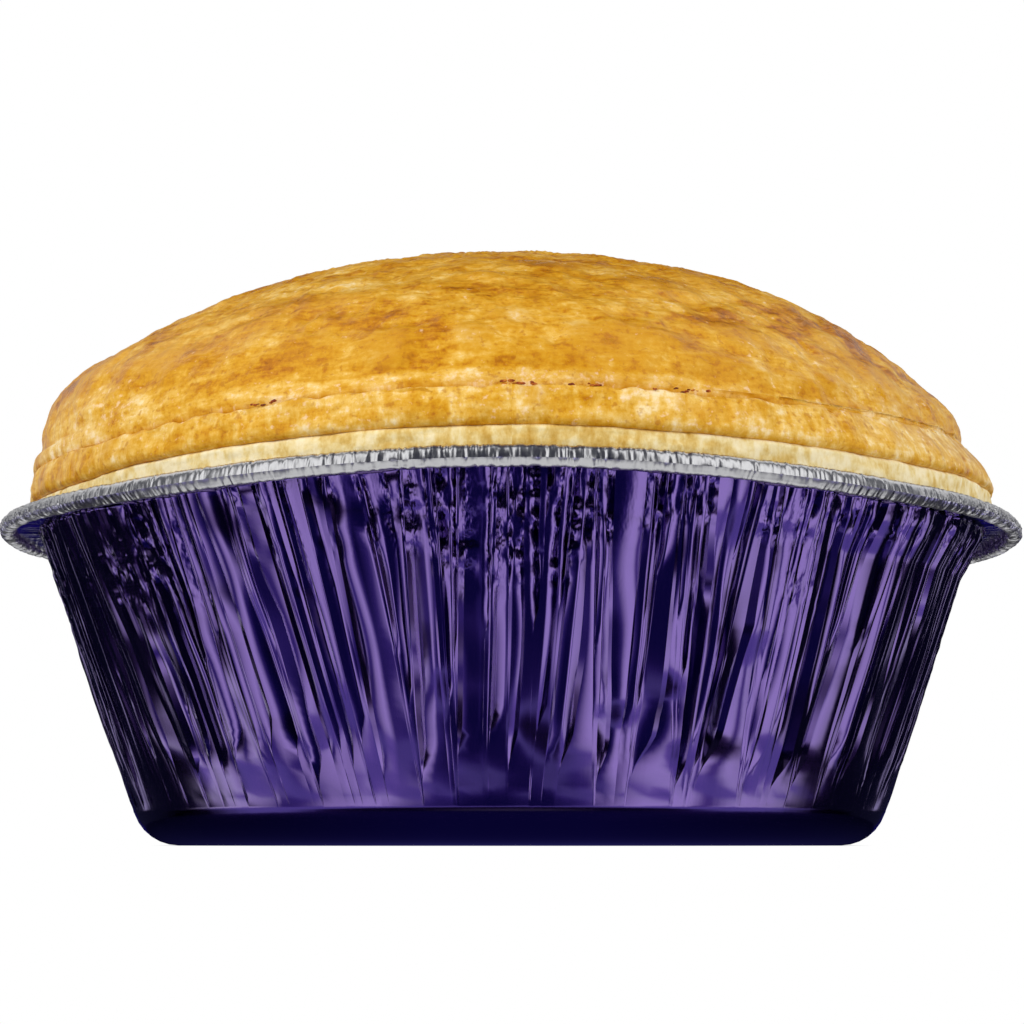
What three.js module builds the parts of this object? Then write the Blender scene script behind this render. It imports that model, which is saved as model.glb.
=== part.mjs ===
// A round steak pie in its own foil tin: a crinkled tin with a rolled edge, a pale shortcrust case
// that fills it, and a domed puff pastry lid with a cut edge band. Millimetres, +Z up, the origin at
// the middle of the tin's base, and the pie's front facing -Y.
import * as THREE from "three";

const TAU = Math.PI * 2;
const deg = THREE.MathUtils.degToRad;

const rim = {
  radius: 60, // outside of the rolled edge
  height: 35.7, // middle of the rolled edge
  rollWidth: 3.0,
  rollHeight: 1.9,
  rollOpening: deg(25), // the roll stops this far short of its inner side, where the flange joins
  steps: 8,
};

// The thin foil edge rises and dips, and the pastry on it follows.
const wave = {
  rise: 0.54,
  count: 4, // times round
  startHeight: 16, // none below this, all of it at the rim
  startRadius: 30, // none inside this, all of it outside the full radius
  fullRadius: 54,
};

const tin = {
  thickness: 0.5,
  baseRadius: 38.9, // the flat part that the pie stands on
  cornerRadius: 5.5,
  wallSlope: deg(19.9), // from upright
  outerBend: 1.0, // where the wall turns out into the flange
  innerBend: 0.4,
  segments: 96,
  cornerSteps: 4,
  wallRows: 5,
};

const pleat = {
  depth: 0.6, // how far a fold of the wall goes in, at the top
  spread: 0.28, // share of the depth that changes from fold to fold
  phaseStep: 2.7,
  startHeight: 5,
  fullHeight: 22,
};

const clearance = 0.3; // between neighbouring pieces

const crustCase = {
  floor: tin.thickness + clearance,
  edgeRadius: 56.3,
  edgeTop: 39.5,
  edgeRound: 0.7,
  edgeUndercut: 0.3, // the edge's foot starts this far above its seat on the flange
  segments: 72,
  wallRows: 3,
};

const lid = {
  underside: crustCase.edgeTop + clearance,
  lipRadius: 57.0,
  lipUndercut: 1.2, // the underside stops this far inside the lip
  lipRise: 0.8, // from the underside up to the lip
  bulgeRise: 2.0, // the band bulges as far as this above the underside
  bulgeLean: 0.2,
  bandTop: 43.0,
  bandLean: 0.7, // the band's top edge sits this far inside its lip
  creaseDepth: 1.5,
  domeFoot: 44.0,
  domeRise: 25.5,
  domeRadiusLeft: 56.7,
  domeRadiusRight: 53.7,
  crownPower: 1.756,
  shoulderPower: 1.711,
  segments: 72,
  domeRows: 12,
};

function point(radius, height) {
  return new THREE.Vector2(radius, height);
}

function edgeWave(radius, height, angle) {
  const up = THREE.MathUtils.smoothstep(height, wave.startHeight, rim.height);
  const out = THREE.MathUtils.smoothstep(radius, wave.startRadius, wave.fullRadius);
  return wave.rise * up * out * Math.cos(wave.count * angle);
}

// A LatheGeometry turned to +Z up, with each vertex then moved by place(radius, height, angle).
// The angle is 0 at the front, -Y, and a quarter turn at +X.
function turned(profile, segments, place) {
  const geometry = new THREE.LatheGeometry(profile, segments, 0, TAU);
  geometry.rotateX(Math.PI / 2);
  const position = geometry.getAttribute("position");
  for (let i = 0; i < position.count; i++) {
    const column = Math.floor(i / profile.length) % segments;
    const { x: radius, y: height } = profile[i % profile.length];
    const angle = (TAU * column) / segments;
    const [r, z] = place(radius, height, angle, column);
    position.setXYZ(i, r * Math.sin(angle), -r * Math.cos(angle), z);
  }
  geometry.deleteAttribute("normal");
  geometry.deleteAttribute("uv");
  return geometry;
}

// Points on an arc of an ellipse, from one angle to another, both ends included.
function arc(centre, radiusR, radiusZ, from, to, steps) {
  return Array.from({ length: steps + 1 }, (_, i) => {
    const t = from + ((to - from) * i) / steps;
    return point(centre.x + radiusR * Math.cos(t), centre.y + radiusZ * Math.sin(t));
  });
}

// The tin's bottom corner, or one inside it of a smaller radius.
function cornerArc(centreRadius, radius) {
  const centre = point(centreRadius, tin.cornerRadius);
  return arc(centre, radius, radius, -Math.PI / 2, -tin.wallSlope, tin.cornerSteps);
}

// The wall's outside radius at a height, on the straight slope between corner and flange.
const cornerEndR = tin.baseRadius + tin.cornerRadius * Math.cos(tin.wallSlope);
const cornerEndZ = tin.cornerRadius * (1 - Math.sin(tin.wallSlope));
function wallRadius(height) {
  return cornerEndR + (height - cornerEndZ) * Math.tan(tin.wallSlope);
}

// Points up the wall from above the corner to a top height, inset level from its outside.
function wallPoints(topZ, rows, inset) {
  return Array.from({ length: rows }, (_, i) => {
    const z = cornerEndZ + ((topZ - cornerEndZ) * (i + 1)) / rows;
    return point(wallRadius(z) - inset, z);
  });
}

const flangeUnder = rim.height - tin.thickness / 2;
const flangeTop = rim.height + tin.thickness / 2;
const wallTopZ = flangeUnder - tin.outerBend;
const wallTopR = wallRadius(wallTopZ);
const wallInset = tin.thickness / Math.cos(tin.wallSlope);

// Every second column of the wall is folded in, a little more or less from fold to fold.
function pleatDepth(height, column) {
  if (column % 2 === 0) return 0;
  const share = 1 - pleat.spread * (1 - Math.sin(column * pleat.phaseStep));
  return pleat.depth * share * THREE.MathUtils.smoothstep(height, pleat.startHeight, pleat.fullHeight);
}

function tinGeometry() {
  const bottomCorner = cornerArc(tin.baseRadius, tin.cornerRadius);
  const outside = [point(0, 0), ...bottomCorner, ...wallPoints(wallTopZ, tin.wallRows, 0)];
  const insideCorner = cornerArc(tin.baseRadius, tin.cornerRadius - tin.thickness);
  const insideWall = wallPoints(wallTopZ, tin.wallRows, wallInset);
  const inside = [point(0, tin.thickness), ...insideCorner, ...insideWall];
  const roll = arc(
    point(rim.radius - rim.rollWidth / 2, rim.height),
    rim.rollWidth / 2,
    rim.rollHeight / 2,
    rim.rollOpening - Math.PI,
    Math.PI - rim.rollOpening,
    rim.steps,
  );
  const profile = [
    ...outside,
    point(wallTopR + tin.outerBend, flangeUnder),
    ...roll,
    point(wallTopR + tin.innerBend, flangeTop),
    ...inside.reverse(),
  ];
  return turned(profile, tin.segments, (radius, height, angle, column) => [
    height > wallTopZ ? radius : radius - pleatDepth(height, column),
    height + edgeWave(radius, height, angle),
  ]);
}

// The case fills the tin inside its folds, and its edge stands on the flange inside the rolled edge.
function caseGeometry() {
  const seatZ = flangeTop + clearance;
  const inset = wallInset + tin.innerBend + pleat.depth + clearance;
  const cornerR = tin.cornerRadius - tin.thickness - clearance;
  const round = crustCase.edgeRound;
  const footZ = seatZ + crustCase.edgeUndercut;
  const profile = [
    point(0, crustCase.floor),
    ...cornerArc(tin.baseRadius - pleat.depth, cornerR),
    ...wallPoints(seatZ, crustCase.wallRows, inset),
    point(crustCase.edgeRadius - round, footZ),
    point(crustCase.edgeRadius, footZ + round),
    point(crustCase.edgeRadius, crustCase.edgeTop - round),
    point(crustCase.edgeRadius - round, crustCase.edgeTop),
    point(0, crustCase.edgeTop),
  ];
  return turned(profile, crustCase.segments, (radius, height, angle) => [
    radius,
    height + edgeWave(radius, height, angle),
  ]);
}

// The dome is narrower on its right side, +X, than on its left.
function domeRadius(angle) {
  const share = (1 + Math.sin(angle)) / 2;
  return THREE.MathUtils.lerp(lid.domeRadiusLeft, lid.domeRadiusRight, share);
}

// The dome's height at a share of its radius, 0 at the middle and 1 at its foot.
function domeHeight(share) {
  const crown = Math.max(0, 1 - share ** lid.crownPower);
  return lid.domeFoot + lid.domeRise * crown ** (1 / lid.shoulderPower);
}

function lidGeometry() {
  const widest = lid.domeRadiusLeft;
  const band = [
    point(0, lid.underside),
    point(lid.lipRadius - lid.lipUndercut, lid.underside),
    point(lid.lipRadius, lid.underside + lid.lipRise),
    point(lid.lipRadius - lid.bulgeLean, lid.underside + lid.bulgeRise),
    point(lid.lipRadius - lid.bandLean, lid.bandTop),
  ];
  const crease = point(widest - lid.creaseDepth, (lid.bandTop + lid.domeFoot) / 2);
  const dome = Array.from({ length: lid.domeRows }, (_, i) => {
    const share = Math.cos((Math.PI / 2) * ((i + 1) / lid.domeRows));
    return point(widest * share, domeHeight(share));
  });
  dome[lid.domeRows - 1].setX(0);
  return turned([...band, crease, ...dome], lid.segments, (radius, height, angle) => {
    const isDome = height > lid.bandTop;
    const r = isDome ? (radius * domeRadius(angle)) / widest : radius;
    return [r, height + edgeWave(radius, height, angle)];
  });
}

const foil = new THREE.MeshStandardMaterial({ color: 0x3a2078, roughness: 0.28, metalness: 1.0 });
const shortcrust = new THREE.MeshStandardMaterial({ color: 0xe6cd94, roughness: 0.75, metalness: 0.0 });
const puffPastry = new THREE.MeshStandardMaterial({ color: 0xd89f45, roughness: 0.5, metalness: 0.0 });

const pie = new THREE.Group();
for (const [name, geometry, material] of [
  ["foil_tin", tinGeometry(), foil],
  ["pastry_case", caseGeometry(), shortcrust],
  ["pastry_lid", lidGeometry(), puffPastry],
]) {
  const mesh = new THREE.Mesh(geometry, material);
  mesh.name = name;
  pie.add(mesh);
}

export default pie;
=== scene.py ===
import math

import bpy
import numpy as np
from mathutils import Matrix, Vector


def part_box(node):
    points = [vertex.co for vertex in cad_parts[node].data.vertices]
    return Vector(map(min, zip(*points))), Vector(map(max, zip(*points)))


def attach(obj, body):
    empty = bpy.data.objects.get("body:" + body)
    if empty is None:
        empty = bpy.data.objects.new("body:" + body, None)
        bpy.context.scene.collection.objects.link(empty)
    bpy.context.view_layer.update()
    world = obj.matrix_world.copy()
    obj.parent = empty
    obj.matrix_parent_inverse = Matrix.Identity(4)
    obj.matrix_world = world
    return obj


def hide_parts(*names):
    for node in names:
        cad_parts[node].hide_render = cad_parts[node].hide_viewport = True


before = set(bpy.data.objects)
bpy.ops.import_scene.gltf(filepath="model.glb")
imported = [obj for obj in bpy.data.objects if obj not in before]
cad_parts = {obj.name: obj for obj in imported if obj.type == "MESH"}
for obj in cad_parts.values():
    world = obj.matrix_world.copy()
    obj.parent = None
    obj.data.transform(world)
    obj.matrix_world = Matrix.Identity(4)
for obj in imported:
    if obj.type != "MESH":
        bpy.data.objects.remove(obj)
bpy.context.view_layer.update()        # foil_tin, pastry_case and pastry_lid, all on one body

mm = 0.001
fullTurn = 2 * math.pi

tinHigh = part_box("foil_tin")[1]
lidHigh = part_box("pastry_lid")[1]

# What the tin and the pastry on it share. Turns are 0 at the front, -Y, and a quarter at +X.
edge = {
    "waveRise": 0.54 * mm,        # the rim and the pastry on it rise and dip this much
    "waveCount": 4,               # times round
    "waveStartHeight": 16 * mm,   # none under this, and all of it at the rim
    "waveStartRadius": 30 * mm,   # none inside this, and all of it outside the full radius
    "waveFullRadius": 54 * mm,
    "beadWidth": 2.1 * mm,
    "beadAbove": 1.45 * mm,       # the rolled edge is this tall above its widest line
    "beadBelow": 0.84 * mm,       # and under it
    "beadDrop": 0.28 * mm,        # its widest line is this far under the rim's height
    "beadMiddle": 0.9 * mm,       # the rim's height is this far under the rolled edge's crest
    "squashHeights": (0, 12 * mm, 30 * mm, 34 * mm),
    "squash": (0.5 * mm, 0.65 * mm, 0.85 * mm, 0),   # how far the right side is pressed in at each height
}
rimRadius = tinHigh.x
rimHeight = tinHigh.z - edge["waveRise"] - edge["beadMiddle"]


def smooth(share):
    share = np.clip(share, 0, 1)
    return share * share * (3 - 2 * share)


def rightness(turns):
    # 1 at the right side, -1 at the left
    return np.sin(fullTurn * turns)


def frontness(turns):
    # 1 at the front, -1 at the back
    return np.cos(fullTurn * turns)


def degreesOf(turns):
    # degrees round from the front, negative on the left
    return ((turns + 0.5) % 1.0 - 0.5) * 360


def edgeWave(turns, radius, height):
    up = smooth((height - edge["waveStartHeight"]) / (rimHeight - edge["waveStartHeight"]))
    out = smooth((radius - edge["waveStartRadius"]) / (edge["waveFullRadius"] - edge["waveStartRadius"]))
    return edge["waveRise"] * up * out * np.cos(edge["waveCount"] * fullTurn * turns)


def squashedIn(turns, height):
    # the tin was pressed in a little on its right side, below the rim
    return smooth((rightness(turns) - 0.2) / 0.8) * np.interp(height, edge["squashHeights"], edge["squash"])


def blend(knots, i, j, shareI, shareJ, wrap):
    # values between the knots of a grid of random numbers, eased both ways
    ni, nj = knots.shape
    nextI = (i + 1) % ni if wrap else np.minimum(i + 1, ni - 1)
    nextJ = np.minimum(j + 1, nj - 1)
    a, b = smooth(shareI), smooth(shareJ)
    low = knots[i, j] * (1 - a) + knots[nextI, j] * a
    high = knots[i, nextJ] * (1 - a) + knots[nextI, nextJ] * a
    return low * (1 - b) + high * b


def roundNoise(seed, across, up, turns, height=0):
    # smooth random values, -1 to 1, that join up after one turn: across cells round, up cells from 0 to 1
    knots = np.random.default_rng(seed).uniform(-1, 1, (across, up + 2))
    x = (turns % 1.0) * across
    y = np.clip(height, 0, 1) * up
    i, j = np.floor(x).astype(int), np.floor(y).astype(int)
    return blend(knots, i % across, j, x - i, y - j, True)


def roundNoises(seed, turns, height, *layers):
    # several of them added up, each with its weight, its cells round and its cells up
    return sum(weight * roundNoise(seed + n, across, up, turns, height)
               for n, (weight, across, up) in enumerate(layers))


def flatNoise(seed, size, x, y):
    # smooth random values, -1 to 1, over the flat, with features of about this size
    cells = int(0.2 / size) + 4           # the grid covers 0.2 m and a margin
    rng = np.random.default_rng(seed)
    knots = rng.uniform(-1, 1, (cells, cells))
    angle = rng.uniform(0, fullTurn)      # each layer's grid is turned, so that no rows show
    across = (x * math.cos(angle) - y * math.sin(angle)) / size + cells / 2
    up = (x * math.sin(angle) + y * math.cos(angle)) / size + cells / 2
    i, j = np.floor(across).astype(int), np.floor(up).astype(int)
    return blend(knots, i, j, across - i, up - j, False)


def layeredNoise(seed, size, x, y, layers=3):
    # each layer half the size and half the weight of the one before
    return sum(0.5**n * flatNoise(seed + n, size / 2**n, x, y) for n in range(layers))


def select(*pieces):
    # these pieces and nothing else, the last of them active
    bpy.ops.object.select_all(action="DESELECT")
    for piece in pieces:
        piece.select_set(True)
        bpy.context.view_layer.objects.active = piece


def joined(*pieces):
    select(*pieces)
    bpy.ops.object.join()
    return bpy.context.object


def turnRings(name, rings, columns, closeStart, closeEnd):
    # a circle at the first ring, extruded ring by ring and scaled to each next radius
    select()
    radius, height = rings[0]
    bpy.ops.mesh.primitive_circle_add(vertices=columns, radius=radius, location=(0, 0, height))
    piece = bpy.context.object
    piece.name = name
    bpy.ops.object.transform_apply(location=True, rotation=True, scale=True)
    bpy.ops.object.mode_set(mode="EDIT")
    bpy.ops.mesh.select_all(action="SELECT")
    if closeStart:
        bpy.ops.mesh.edge_face_add()
    for nextRadius, nextHeight in rings[1:]:
        bpy.ops.mesh.extrude_edges_move(TRANSFORM_OT_translate={"value": (0, 0, nextHeight - height)})
        k = nextRadius / radius
        bpy.ops.transform.resize(value=(k, k, 1), center_override=(0, 0, nextHeight))
        radius, height = nextRadius, nextHeight
    if closeEnd:
        bpy.ops.mesh.edge_face_add()
    bpy.ops.mesh.select_all(action="DESELECT")
    bpy.ops.object.mode_set(mode="OBJECT")
    if closeStart and closeEnd:
        faceOutwards(piece)
    return piece


def bridgeOpenEnds(piece):
    # a ring of faces between the two edges that are still open
    select(piece)
    bpy.ops.object.mode_set(mode="EDIT")
    bpy.ops.mesh.select_mode(type="VERT")
    bpy.ops.mesh.select_all(action="DESELECT")
    bpy.ops.mesh.select_non_manifold(extend=False, use_wire=False, use_multi_face=False,
                                     use_non_contiguous=False, use_verts=False)
    bpy.ops.mesh.bridge_edge_loops()
    bpy.ops.object.mode_set(mode="OBJECT")
    faceOutwards(piece)


def faceOutwards(piece):
    select(piece)
    bpy.ops.object.mode_set(mode="EDIT")
    bpy.ops.mesh.select_all(action="SELECT")
    bpy.ops.mesh.normals_make_consistent(inside=False)
    bpy.ops.mesh.select_all(action="DESELECT")
    bpy.ops.object.mode_set(mode="OBJECT")


def readPoints(piece):
    points = np.empty(len(piece.data.vertices) * 3)
    piece.data.vertices.foreach_get("co", points)
    return points.reshape(-1, 3)


def writePoints(piece, points):
    piece.data.vertices.foreach_set("co", np.ascontiguousarray(points, dtype=np.float32).ravel())
    piece.data.update()


def roundOf(points):
    # the turns, radius and height of each point
    turns = (np.arctan2(points[:, 0], -points[:, 1]) / fullTurn) % 1.0
    return turns, np.hypot(points[:, 0], points[:, 1]), points[:, 2]


def onCircle(turns, radius, height):
    return np.stack([radius * rightness(turns), -radius * frontness(turns), height], axis=-1)


def onEdge(turns, radius, height):
    # the same points, once they follow the rim's wave
    return onCircle(turns, radius, height + edgeWave(turns, radius, height))


def readEdges(piece):
    # the two vertices of each edge, and whether it is sharp
    edges = piece.data.edges
    ends = np.empty(len(edges) * 2, dtype=np.int32)
    edges.foreach_get("vertices", ends)
    sharp = np.empty(len(edges), dtype=bool)
    edges.foreach_get("use_edge_sharp", sharp)
    return ends.reshape(-1, 2), sharp


def wrapUv(piece, aroundRadius, upward=None):
    # u runs round the piece in metres and v up it, so that a pattern follows the wall
    mesh = piece.data
    turns, radius, height = roundOf(readPoints(piece))
    corners = np.empty(len(mesh.loops), dtype=np.int32)
    mesh.loops.foreach_get("vertex_index", corners)
    starts = np.empty(len(mesh.polygons), dtype=np.int32)
    mesh.polygons.foreach_get("loop_start", starts)
    sizes = np.diff(np.append(starts, len(corners)))
    cornerTurns = turns[corners]
    low = np.repeat(np.minimum.reduceat(cornerTurns, starts), sizes)
    high = np.repeat(np.maximum.reduceat(cornerTurns, starts), sizes)
    crossing = (high - low > 0.5) & (cornerTurns < 0.5)   # faces across the join of the turn
    u = (cornerTurns + crossing) * fullTurn * aroundRadius
    v = (height if upward is None else upward)[corners]
    layer = mesh.uv_layers.new(name="wrap")
    layer.data.foreach_set("uv", np.stack([u, v], axis=-1).astype(np.float32).ravel())


def writeColours(piece, name, red, green=None, blue=None):
    # three values for each vertex, or one in all three channels
    values = np.ones((len(piece.data.vertices), 4), dtype=np.float32)
    for n, channel in enumerate((red, green, blue)):
        values[:, n] = np.clip(red if channel is None else channel, 0, 1)
    attribute = piece.data.attributes.new(name, "FLOAT_COLOR", "POINT")
    attribute.data.foreach_set("color", values.ravel())


def smoothByAngle(piece, degrees):
    select(piece)
    bpy.ops.object.shade_smooth_by_angle(angle=math.radians(degrees))


def finishPiece(piece, material, node):
    piece.data.materials.clear()
    piece.data.materials.append(material)
    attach(piece, "root")
    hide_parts(node)


# The foil tin.
tin = {
    "folds": 350,                 # all that reach the rim
    "foldsPerGroup": 5,
    "columnsPerFold": 4,          # a fold's start, its valley, its end, and the middle of the gap after it
    "lowRows": 18,                # rows of faces up to the crumpled part of the wall
    "highRows": 30,               # and in it
    "crumpledFrom": 0.55,         # share of the wall's height
    "wallSlope": math.radians(19.9),
    "baseRadius": 38.9 * mm,
    "cornerRadius": 5.5 * mm,
    "cornerSteps": 6,
    # the crisp line where the corner meets the folded wall, out from the corner's end and up
    "cornerRidge": ((0.10 * mm, 0.18 * mm), (0.16 * mm, 0.42 * mm)),
    "topBend": 0.25 * mm,
    "flangeEnd": 58.4 * mm,
    "flangeUnder": 35.45 * mm,
    "flangeThickness": 0.2 * mm,
    "innerSkin": 0.95 * mm,       # the smooth inner side is this far inside the folded one
    "innerColumns": 80,
    "groupJitter": 0.18,          # how unevenly the groups of folds are spaced, in shares of a group
    "groupLean": 2.2 * mm,        # and how far their borders lean at random
    "leastRoom": 0.08,            # a fold that has not started still takes this share of its kind's room
    "roomSpread": (0.3, 1.7),     # room and width vary at random from fold to fold, as shares of the kind's
    "widthSpread": (0.6, 1.6),
    "widthChange": 0.3,           # and a fold's width changes this much up the wall
    "leastWidth": 0.05 * mm,
    "mostTaken": 0.75,            # a fold takes no more than this share of its room
    "growth": 0.15,               # share of the wall over which a fold that has started grows
    "slimmer": 0.4,               # folds are this much slimmer near the rim than halfway up
    "calmRight": 0.5,             # how much shallower the folds are at the far right
    "calmLeft": 0.25,             # and at the far left
    "facetSlope": 0.30,           # how steeply the facets between folds are turned, rise over run
    "facetTwist": 0.24,           # and how much that changes up the wall
    "sideFacets": 0.4,            # at the sides the facets turn only this much of it
    "wideFacet": 2.4 * mm,        # wider facets lie flatter
    "pillow": 0.12,               # and stand out in the middle by up to this share of their width
    "fallChange": 0.5,            # how much a fold's fall changes up the wall
    "crushedFall": 1.1,           # and where it is crushed
    "proudShare": 0.2,            # share of the folds that stand out, half as far, instead of going in
    "levelSpan": 28,              # columns over which the wall keeps to its round shape
    "broadTilt": 0.18 * mm,
    # noise layers, here and in the other pieces: weight, cells round, cells up
    "tilts": ((1, 110, 1), (0.5, 230, 2)),
    "patches": ((1, 34, 4), (0.5, 90, 9)),
    "deepest": 0.85 * mm,
    "proudest": 0.55 * mm,
    "lean": 1.4 * mm,             # how far neighbouring bunches of folds lean sideways at random
    "bow": 0.22 * mm,
    "crumple": 0.22 * mm,
    "uncrumpled": 1.7 * mm,       # facets this wide take half the crumples, and wider ones fewer
    "frontCrush": 0.5,            # the tin's front is crushed more near the rim
    "sideCrush": 0.45,            # and its sides all the way up
    "betweenFolds": 0.15,         # beads sit in the folds, and this share of them between
    "crease": 32,                 # degrees
    "seed": 7,
}
# How far folds lean sideways from corner to rim, in mm, by degrees round from the front.
foldLean = ((-180, 0.0), (-120, -1.5), (-90, -3.0), (-60, -4.2), (-25, -4.8), (-10, -2.4), (0, 0.0),
            (15, 1.0), (30, 2.4), (60, 3.4), (90, 3.0), (120, 1.5), (180, 0.0))
# Each fold has a gentle side and a steep side: lowest and highest start up the wall, share of the room,
# width when grown, the share of it that is steep, and how far the gentle side falls over its width.
mainFold = {"start": (0.02, 0.14), "room": 2.3, "width": 1.80 * mm, "steep": (0.26, 0.42),
            "fall": (0.42, 0.85)}
secondFold = {"start": (0.08, 0.55), "room": 1.5, "width": 1.20 * mm, "steep": (0.26, 0.44),
              "fall": (0.48, 0.98)}
fineFold = {"start": (0.40, 0.95), "room": 0.65, "width": 0.62 * mm, "steep": (0.30, 0.50),
            "fall": (0.8, 1.6)}
foldKinds = [mainFold, secondFold, fineFold, secondFold, fineFold]    # one group


def knotNoise(rng, cells, share):
    # for each fold, smooth random values, -1 to 1, up the wall
    knots = rng.uniform(-1, 1, (tin["folds"], cells + 2))
    y = share * cells
    j = np.floor(y).astype(int)
    a = smooth(y - j)
    return knots[:, j] * (1 - a) + knots[:, j + 1] * a


def crushedShare(turns, share):
    # patches, most of them near the rim, where the folds are pressed into fine crumples
    patches = roundNoises(37, turns, share, *tin["patches"])
    patches = patches + tin["frontCrush"] * smooth((frontness(turns) - 0.9) / 0.1)
    nearRim = smooth(patches * 1.6 + share * 2.8 - 1.6) * smooth((share - tin["crumpledFrom"]) / 0.25)
    atSide = smooth((0.5 - np.abs(frontness(turns))) / 0.3) * smooth(share / 0.15)
    return np.maximum(nearRim, tin["sideCrush"] * atSide)


def calmness(turns):
    # 1, and less at the far right and left, where the folds are shallower
    right, left = smooth((rightness(turns) - 0.66) / 0.17), smooth((-rightness(turns) - 0.85) / 0.1)
    return 1 - tin["calmRight"] * right - tin["calmLeft"] * left


def eachKind(name):
    # for every fold, what its kind has
    return np.array([foldKinds[n % len(foldKinds)][name] for n in range(tin["folds"])])


def eachFold(rng, name):
    # for every fold, a random value between its kind's two
    low, high = eachKind(name).T
    return rng.uniform(low, high)[:, None]


def spread(rng, name):
    return rng.uniform(*tin[name], (tin["folds"], 1))


def foldPaths(rng, share, circumference, start):
    # where each fold's room begins, and how wide it is, in turns, at each share of the way up:
    # a main fold runs straight up the start of each group, leaning at random, and the others fan
    # out between it and the next, each in a straight line
    count, group = tin["folds"], tin["foldsPerGroup"]
    groups = count // group
    border = (np.arange(groups) + tin["groupJitter"] * rng.uniform(-1, 1, groups))[:, None] / groups
    border = border + tin["groupLean"] * rng.uniform(-1, 1, (groups, 1)) * (share - 0.5) / circumference
    groupRoom = (np.roll(border, -1, axis=0) - border) % 1.0
    kindRoom = eachKind("room")[:, None]
    atFoot = kindRoom * (tin["leastRoom"] + smooth((0.35 - start) / 0.3)) * spread(rng, "roomSpread")
    atRim = kindRoom * spread(rng, "roomSpread")
    atFoot, atRim = atFoot.reshape(groups, group, 1), atRim.reshape(groups, group, 1)
    atFoot, atRim = atFoot / atFoot.sum(axis=1, keepdims=True), atRim / atRim.sum(axis=1, keepdims=True)
    room = (atFoot + (atRim - atFoot) * share) * groupRoom[:, None, :]
    path = (border[:, None, :] + np.cumsum(room, axis=1) - room).reshape(count, -1)
    return path, room.reshape(count, -1)


def facetSlopes(rng, share, path, gap, grown):
    # the facet after each fold is turned its own way once the fold has started, and before that
    # lies as the facet beside it; the sides of the tin are crumpled less than its front
    own = tin["facetSlope"] * rng.uniform(-1, 1, (tin["folds"], 1))
    own = own + tin["facetTwist"] * knotNoise(rng, 4, share)
    facing = smooth((np.abs(frontness(path)) - 0.3) / 0.35)
    own = own * (tin["sideFacets"] + (1 - tin["sideFacets"]) * facing) * calmness(path)
    slope = own.copy()
    for k in list(range(tin["folds"])) * 2:       # twice round, as the first lies by the last
        slope[k] = grown[k] * own[k] + (1 - grown[k]) * slope[k - 1]
    return slope / (1 + gap / tin["wideFacet"])


def levelled(height):
    # the height of each column over the mean of its neighbourhood, round the whole turn
    span = tin["levelSpan"]
    wrapped = np.concatenate([height[-span:], height, height[:span + 1]])
    total = np.cumsum(wrapped, axis=0)
    mean = (total[2 * span:] - total[:-2 * span]) / (2 * span)
    return height - mean[:len(height)]


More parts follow.
